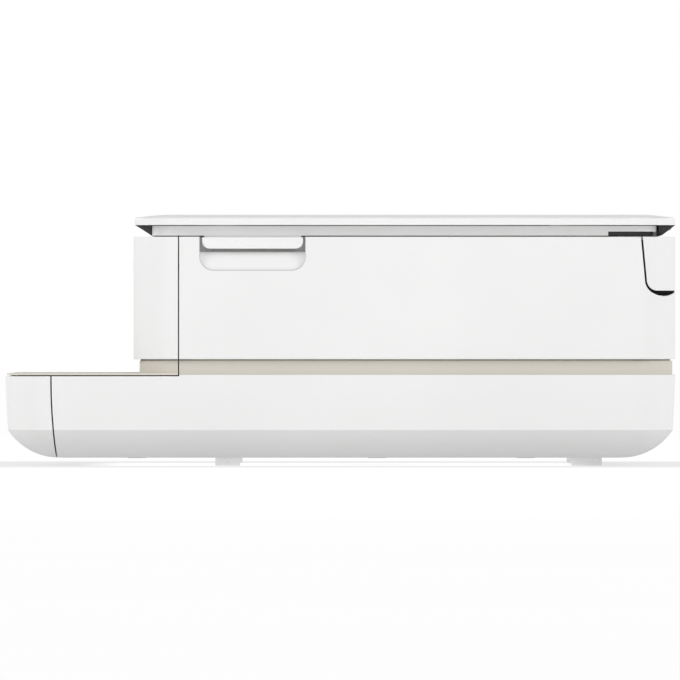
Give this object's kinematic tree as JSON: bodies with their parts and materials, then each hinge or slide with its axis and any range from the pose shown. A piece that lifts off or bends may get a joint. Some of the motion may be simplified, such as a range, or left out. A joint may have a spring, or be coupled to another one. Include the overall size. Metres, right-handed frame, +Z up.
{
  "type": "inkjet printer",
  "caption": "Compact desktop all-in-one inkjet printer: flatbed scanner under a hinged lid above a front paper tray, with a geared paper path and a belt-driven print carriage.",
  "frame": {"origin": "centre of the footprint, on the plane that the rubber feet stand on", "axes": "+X to the printer's own right as seen from its front, +Y to the rear, +Z up"},
  "size_m": [0.432, 0.3614, 0.1356],
  "materials": {
    "shell_white": "fine satin moulded texture, white",
    "lid_white": "satin white, fine texture",
    "accent_beige": "fine texture, warm beige",
    "bed_grey": "satin white, a shade greyer than the casing",
    "dark_plastic": "satin black",
    "tab_white": "semi-gloss white",
    "inner_grey": "satin mid grey moulding",
    "foot_grey": "soft light grey rubber",
    "scan_glass": "clear float glass",
    "foam_white": "matt white foam facing",
    "steel": "ground bar",
    "sheet_steel": "zinc-plated sheet",
    "roller_rubber": "ground rubber",
    "gear_plastic": "natural acetal",
    "belt_rubber": "toothed rubber belt",
    "encoder_film": "clear ruled film",
    "motor_metal": "plated can",
    "sensor_dark": "dark sensor bar",
    "cap_dark": "dark moulding with rubber caps",
    "carriage_dark": "satin black moulding",
    "cartridge_black": "black with a pale label",
    "cartridge_colour": "dark grey with a three-colour label",
    "latch_blue": "muted blue",
    "circuit_board": "green solder mask",
    "socket_metal": "plated shell",
    "supply_black": "black moulding",
    "inlet_black": "black moulding",
    "button_grey": "satin grey",
    "light_lens": "milky light guide",
    "panel_black": "glossy black panel",
    "screw_steel": "zinc plated"
  },
  "bodies": {
    "chassis": {"base_housing": "shell_white", "rubber_feet": "foot_grey", "output_plate": "accent_beige", "right_side_panel": "shell_white", "left_side_panel": "shell_white", "front_fascia": "shell_white", "accent_bands": "accent_beige", "rear_cover": "shell_white", "hinge_brackets": "steel", "engine_frame": "sheet_steel", "carriage_rail": "sheet_steel", "encoder_strip": "encoder_film", "drive_belt": "belt_rubber", "drive_motors": "motor_metal", "platen": "inner_grey", "roller_holders": "inner_grey", "paper_turn_guide": "inner_grey", "service_station": "cap_dark", "main_board": "circuit_board", "usb_port": "socket_metal", "power_supply": "supply_black", "power_inlet": "inlet_black", "status_light_bar": "light_lens", "touch_panel": "panel_black", "case_screws": "screw_steel"},
    "scanner_unit": {"bed_frame": "bed_grey", "dark_trims": "dark_plastic", "grip_tabs": "tab_white", "scanner_tub": "inner_grey", "scan_glass": "scan_glass", "scan_drive": "steel", "rear_hinge_cover": "shell_white"},
    "lid": {"lid_shell": "lid_white", "document_pad": "foam_white", "lid_rear_bar": "dark_plastic"},
    "sensor_bar": {"scan_bar": "sensor_dark"},
    "paper_tray": {"tray_front": "shell_white", "tray_pan": "inner_grey"},
    "right_guide": {"right_paper_guide": "gear_plastic"},
    "left_guide": {"left_paper_guide": "gear_plastic"},
    "guide_gear": {"guide_pinion": "gear_plastic"},
    "extender": {"tray_extender": "accent_beige"},
    "carriage": {"carriage_shell": "carriage_dark", "colour_cartridge": "cartridge_colour", "black_cartridge": "cartridge_black"},
    "colour_latch": {"colour_latch": "latch_blue"},
    "black_latch": {"black_latch": "latch_blue"},
    "belt_drive_pulley": {"motor_pulley": "gear_plastic"},
    "belt_idler_pulley": {"idler_pulley": "gear_plastic"},
    "service_sled": {"cap_sled": "cap_dark"},
    "feed_shaft": {"feed_roller": "roller_rubber"},
    "exit_shaft": {"exit_roller": "roller_rubber"},
    "idler": {"idler_gear": "gear_plastic"},
    "feed_motor_gear": {"motor_pinion": "steel"},
    "pinch_axle": {"pinch_rollers": "inner_grey"},
    "star_axle": {"star_wheels": "steel"},
    "pick_lever": {"pick_arm": "inner_grey"},
    "pick_tyre": {"pick_roller": "roller_rubber"},
    "power_key": {"power_button": "button_grey"},
    "wifi_key": {"wifi_button": "button_grey"}
  },
  "joints": [
    {"name": "scanner_hinge", "type": "hinge", "parent": "chassis", "child": "scanner_unit", "pos_m": [0, 0.176, 0.0995], "axis": [-1, 0, 0], "range_deg": [0, 45]},
    {"name": "lid_hinge", "type": "hinge", "parent": "scanner_unit", "child": "lid", "pos_m": [0, 0.1772, 0.1296], "axis": [-1, 0, 0], "range_deg": [0, 85]},
    {"name": "sensor_bar_slide", "type": "slide", "parent": "scanner_unit", "child": "sensor_bar", "axis": [1, 0, 0], "range_m": [0, 0.316]},
    {"name": "tray_slide", "type": "slide", "parent": "chassis", "child": "paper_tray", "axis": [0, -1, 0], "range_m": [0, 0.15]},
    {"name": "right_guide_slide", "type": "slide", "parent": "paper_tray", "child": "right_guide", "axis": [-1, 0, 0], "range_m": [0, 0.0565]},
    {"name": "left_guide_slide", "type": "slide", "parent": "paper_tray", "child": "left_guide", "axis": [1, 0, 0], "range_m": [0, 0.0565]},
    {"name": "guide_pinion_spin", "type": "hinge", "parent": "paper_tray", "child": "guide_gear", "pos_m": [0, -0.1, 0.0125], "axis": [0, 0, 1], "range_deg": [-545, 0]},
    {"name": "extender_slide", "type": "slide", "parent": "chassis", "child": "extender", "axis": [0, -1, 0], "range_m": [0, 0.07]},
    {"name": "carriage_slide", "type": "slide", "parent": "chassis", "child": "carriage", "axis": [-1, 0, 0], "range_m": [0, 0.28]},
    {"name": "colour_latch_hinge", "type": "hinge", "parent": "carriage", "child": "colour_latch", "pos_m": [0.137, -0.0188, 0.076], "axis": [1, 0, 0], "range_deg": [0, 25]},
    {"name": "black_latch_hinge", "type": "hinge", "parent": "carriage", "child": "black_latch", "pos_m": [0.173, -0.0188, 0.076], "axis": [1, 0, 0], "range_deg": [0, 25]},
    {"name": "motor_pulley_spin", "type": "hinge", "parent": "chassis", "child": "belt_drive_pulley", "pos_m": [0.182, 0.0535, 0.084], "axis": [0, 1, 0], "range_deg": [0, 2411]},
    {"name": "idler_pulley_spin", "type": "hinge", "parent": "chassis", "child": "belt_idler_pulley", "pos_m": [-0.182, 0.0535, 0.084], "axis": [0, 1, 0], "range_deg": [0, 2411]},
    {"name": "cap_sled_slide", "type": "slide", "parent": "chassis", "child": "service_sled", "axis": [-1, 0, 0], "range_m": [0, 0.005]},
    {"name": "feed_roller_spin", "type": "hinge", "parent": "chassis", "child": "feed_shaft", "pos_m": [0, 0.042, 0.054], "axis": [1, 0, 0], "continuous": true},
    {"name": "exit_roller_spin", "type": "hinge", "parent": "chassis", "child": "exit_shaft", "pos_m": [0, -0.022, 0.054], "axis": [1, 0, 0], "continuous": true},
    {"name": "idler_gear_spin", "type": "hinge", "parent": "chassis", "child": "idler", "pos_m": [-0.2015, 0.0088, 0.054], "axis": [1, 0, 0], "continuous": true},
    {"name": "motor_pinion_spin", "type": "hinge", "parent": "chassis", "child": "feed_motor_gear", "pos_m": [-0.2015, 0.02966, 0.06871], "axis": [1, 0, 0], "continuous": true},
    {"name": "pinch_roller_spin", "type": "hinge", "parent": "chassis", "child": "pinch_axle", "pos_m": [0, 0.042, 0.0643], "axis": [1, 0, 0], "continuous": true},
    {"name": "star_wheel_spin", "type": "hinge", "parent": "chassis", "child": "star_axle", "pos_m": [0, -0.022, 0.0633], "axis": [1, 0, 0], "continuous": true},
    {"name": "pick_arm_hinge", "type": "hinge", "parent": "chassis", "child": "pick_lever", "pos_m": [0, 0.088, 0.052], "axis": [-1, 0, 0], "range_deg": [0, 18]},
    {"name": "pick_roller_spin", "type": "hinge", "parent": "pick_lever", "child": "pick_tyre", "pos_m": [0, 0.058, 0.025], "axis": [1, 0, 0], "continuous": true},
    {"name": "power_button_push", "type": "slide", "parent": "chassis", "child": "power_key", "axis": [0, -1, 0], "range_m": [0, 0.0022], "stiffness_N_per_m": 800, "springref_m": -0.0005},
    {"name": "wifi_button_push", "type": "slide", "parent": "chassis", "child": "wifi_key", "axis": [0, -1, 0], "range_m": [0, 0.0022], "stiffness_N_per_m": 800, "springref_m": -0.0005}
  ],
  "couplings": [
    {"joint": "left_guide_slide", "follows": "right_guide_slide", "ratio": 1},
    {"joint": "guide_pinion_spin", "follows": "right_guide_slide", "rad_per_m": -166.67},
    {"joint": "motor_pulley_spin", "follows": "carriage_slide", "rad_per_m": 150.15},
    {"joint": "idler_pulley_spin", "follows": "carriage_slide", "rad_per_m": 150.15},
    {"joint": "exit_roller_spin", "follows": "feed_roller_spin", "ratio": 1.2},
    {"joint": "idler_gear_spin", "follows": "feed_roller_spin", "ratio": -0.76596},
    {"joint": "motor_pinion_spin", "follows": "feed_roller_spin", "ratio": -3},
    {"joint": "pinch_roller_spin", "follows": "feed_roller_spin", "ratio": -1.5},
    {"joint": "star_wheel_spin", "follows": "feed_roller_spin", "ratio": -1.5},
    {"joint": "pick_roller_spin", "follows": "feed_roller_spin", "ratio": 0.75}
  ]
}
